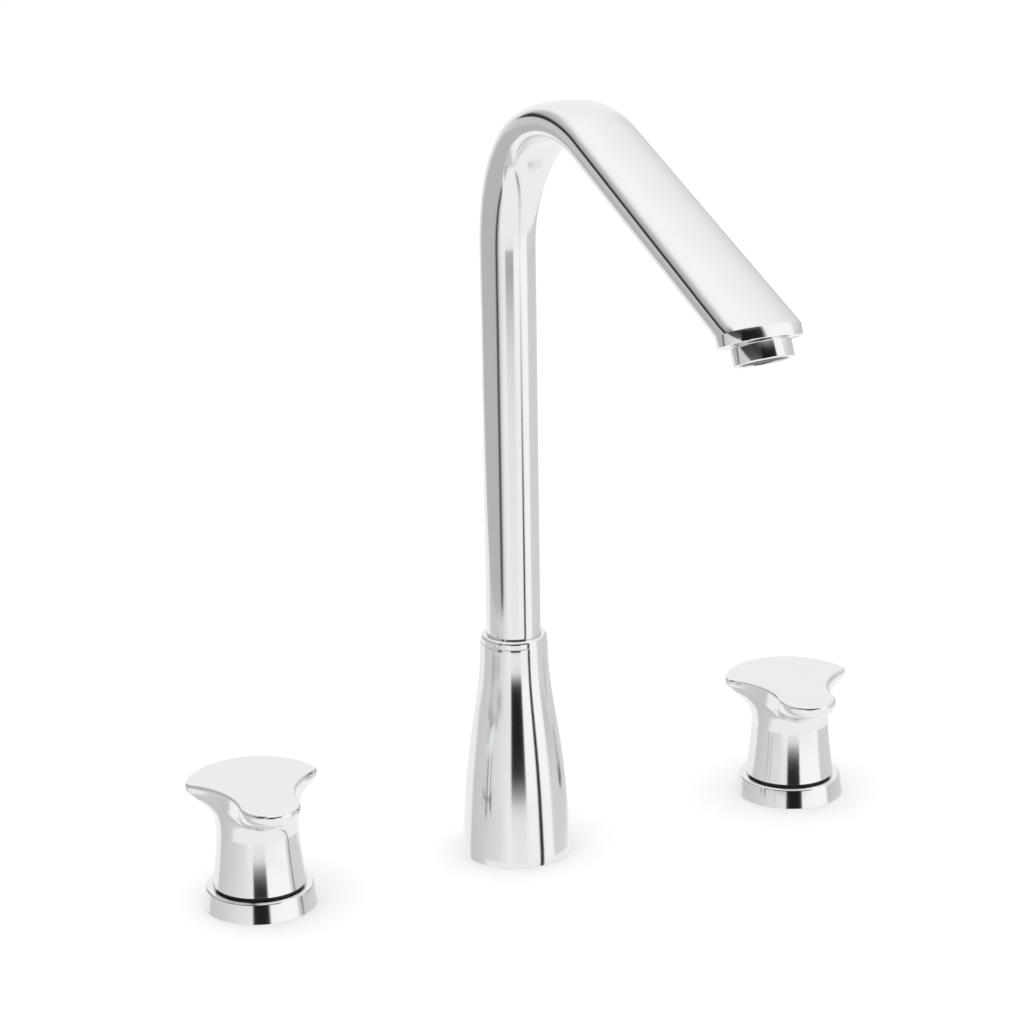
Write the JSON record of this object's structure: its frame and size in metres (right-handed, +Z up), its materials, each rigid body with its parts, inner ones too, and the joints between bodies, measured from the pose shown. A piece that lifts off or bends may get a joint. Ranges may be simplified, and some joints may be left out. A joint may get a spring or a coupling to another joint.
{
  "type": "two handle kitchen faucet",
  "caption": "Deck-mounted kitchen faucet with a tall swivelling arched spout on a bell-shaped base and a winged quarter-turn handle on each side.",
  "frame": {"origin": "centre of the spout's base on the worktop's upper face", "axes": "+Z up along the spout's column, -Y to the front where the spout points, +X to the right (cold) handle"},
  "size_m": [0.3403, 0.2637, 0.4474],
  "materials": {
    "chrome": "polished chrome plate",
    "brass": "machined, unplated",
    "copper": "drawn copper tube",
    "steel": "plain stainless steel",
    "black_rubber": "matt black rubber",
    "dark_plastic": "matt dark acetal",
    "white_plastic": "natural acetal",
    "aerator_plastic": "grey moulded plastic",
    "ceramic": "lapped white alumina"
  },
  "bodies": {
    "base": {"base_gasket": "black_rubber", "base_shroud": "chrome", "cold_bridge_tube": "copper", "hot_bridge_tube": "copper", "left_cartridge_body": "brass", "left_cartridge_seal": "black_rubber", "left_cover_ring": "chrome", "left_deck_gasket": "black_rubber", "left_fixed_disc": "ceramic", "left_glide_ring": "dark_plastic", "left_seat_seal": "black_rubber", "left_valve_body": "brass", "right_cartridge_body": "brass", "right_cartridge_seal": "black_rubber", "right_cover_ring": "chrome", "right_deck_gasket": "black_rubber", "right_fixed_disc": "ceramic", "right_glide_ring": "dark_plastic", "right_seat_seal": "black_rubber", "right_valve_body": "brass", "rubber_washers": "black_rubber", "shank_nuts": "brass", "spout_body": "brass", "spout_collar": "chrome", "spout_lock_screw": "steel", "spout_thrust_ring": "white_plastic", "steel_washers": "steel", "union_nuts": "brass", "union_olives": "brass"},
    "spout": {"spout_tube": "chrome", "spout_tailpiece": "brass", "spout_seals": "black_rubber", "aerator_housing": "chrome", "aerator_insert": "aerator_plastic", "aerator_screen": "steel", "aerator_washer": "black_rubber"},
    "left_handle": {"left_handle": "chrome", "left_handle_insert": "white_plastic", "left_handle_screw": "steel", "left_spindle": "brass", "left_spindle_seals": "black_rubber", "left_spindle_clip": "steel", "left_moving_disc": "ceramic"},
    "right_handle": {"right_handle": "chrome", "right_handle_insert": "white_plastic", "right_handle_screw": "steel", "right_spindle": "brass", "right_spindle_seals": "black_rubber", "right_spindle_clip": "steel", "right_moving_disc": "ceramic"}
  },
  "joints": [
    {"name": "spout_swivel", "type": "hinge", "parent": "base", "child": "spout", "pos_m": [0, 0, 0.09], "axis": [0, 0, 1], "continuous": true},
    {"name": "left_handle_turn", "type": "hinge", "parent": "base", "child": "left_handle", "pos_m": [-0.13, 0, 0.02], "axis": [0, 0, 1], "range_deg": [0, 90]},
    {"name": "right_handle_turn", "type": "hinge", "parent": "base", "child": "right_handle", "pos_m": [0.15, 0, 0.02], "axis": [0, 0, 1], "range_deg": [-90, 0]}
  ]
}
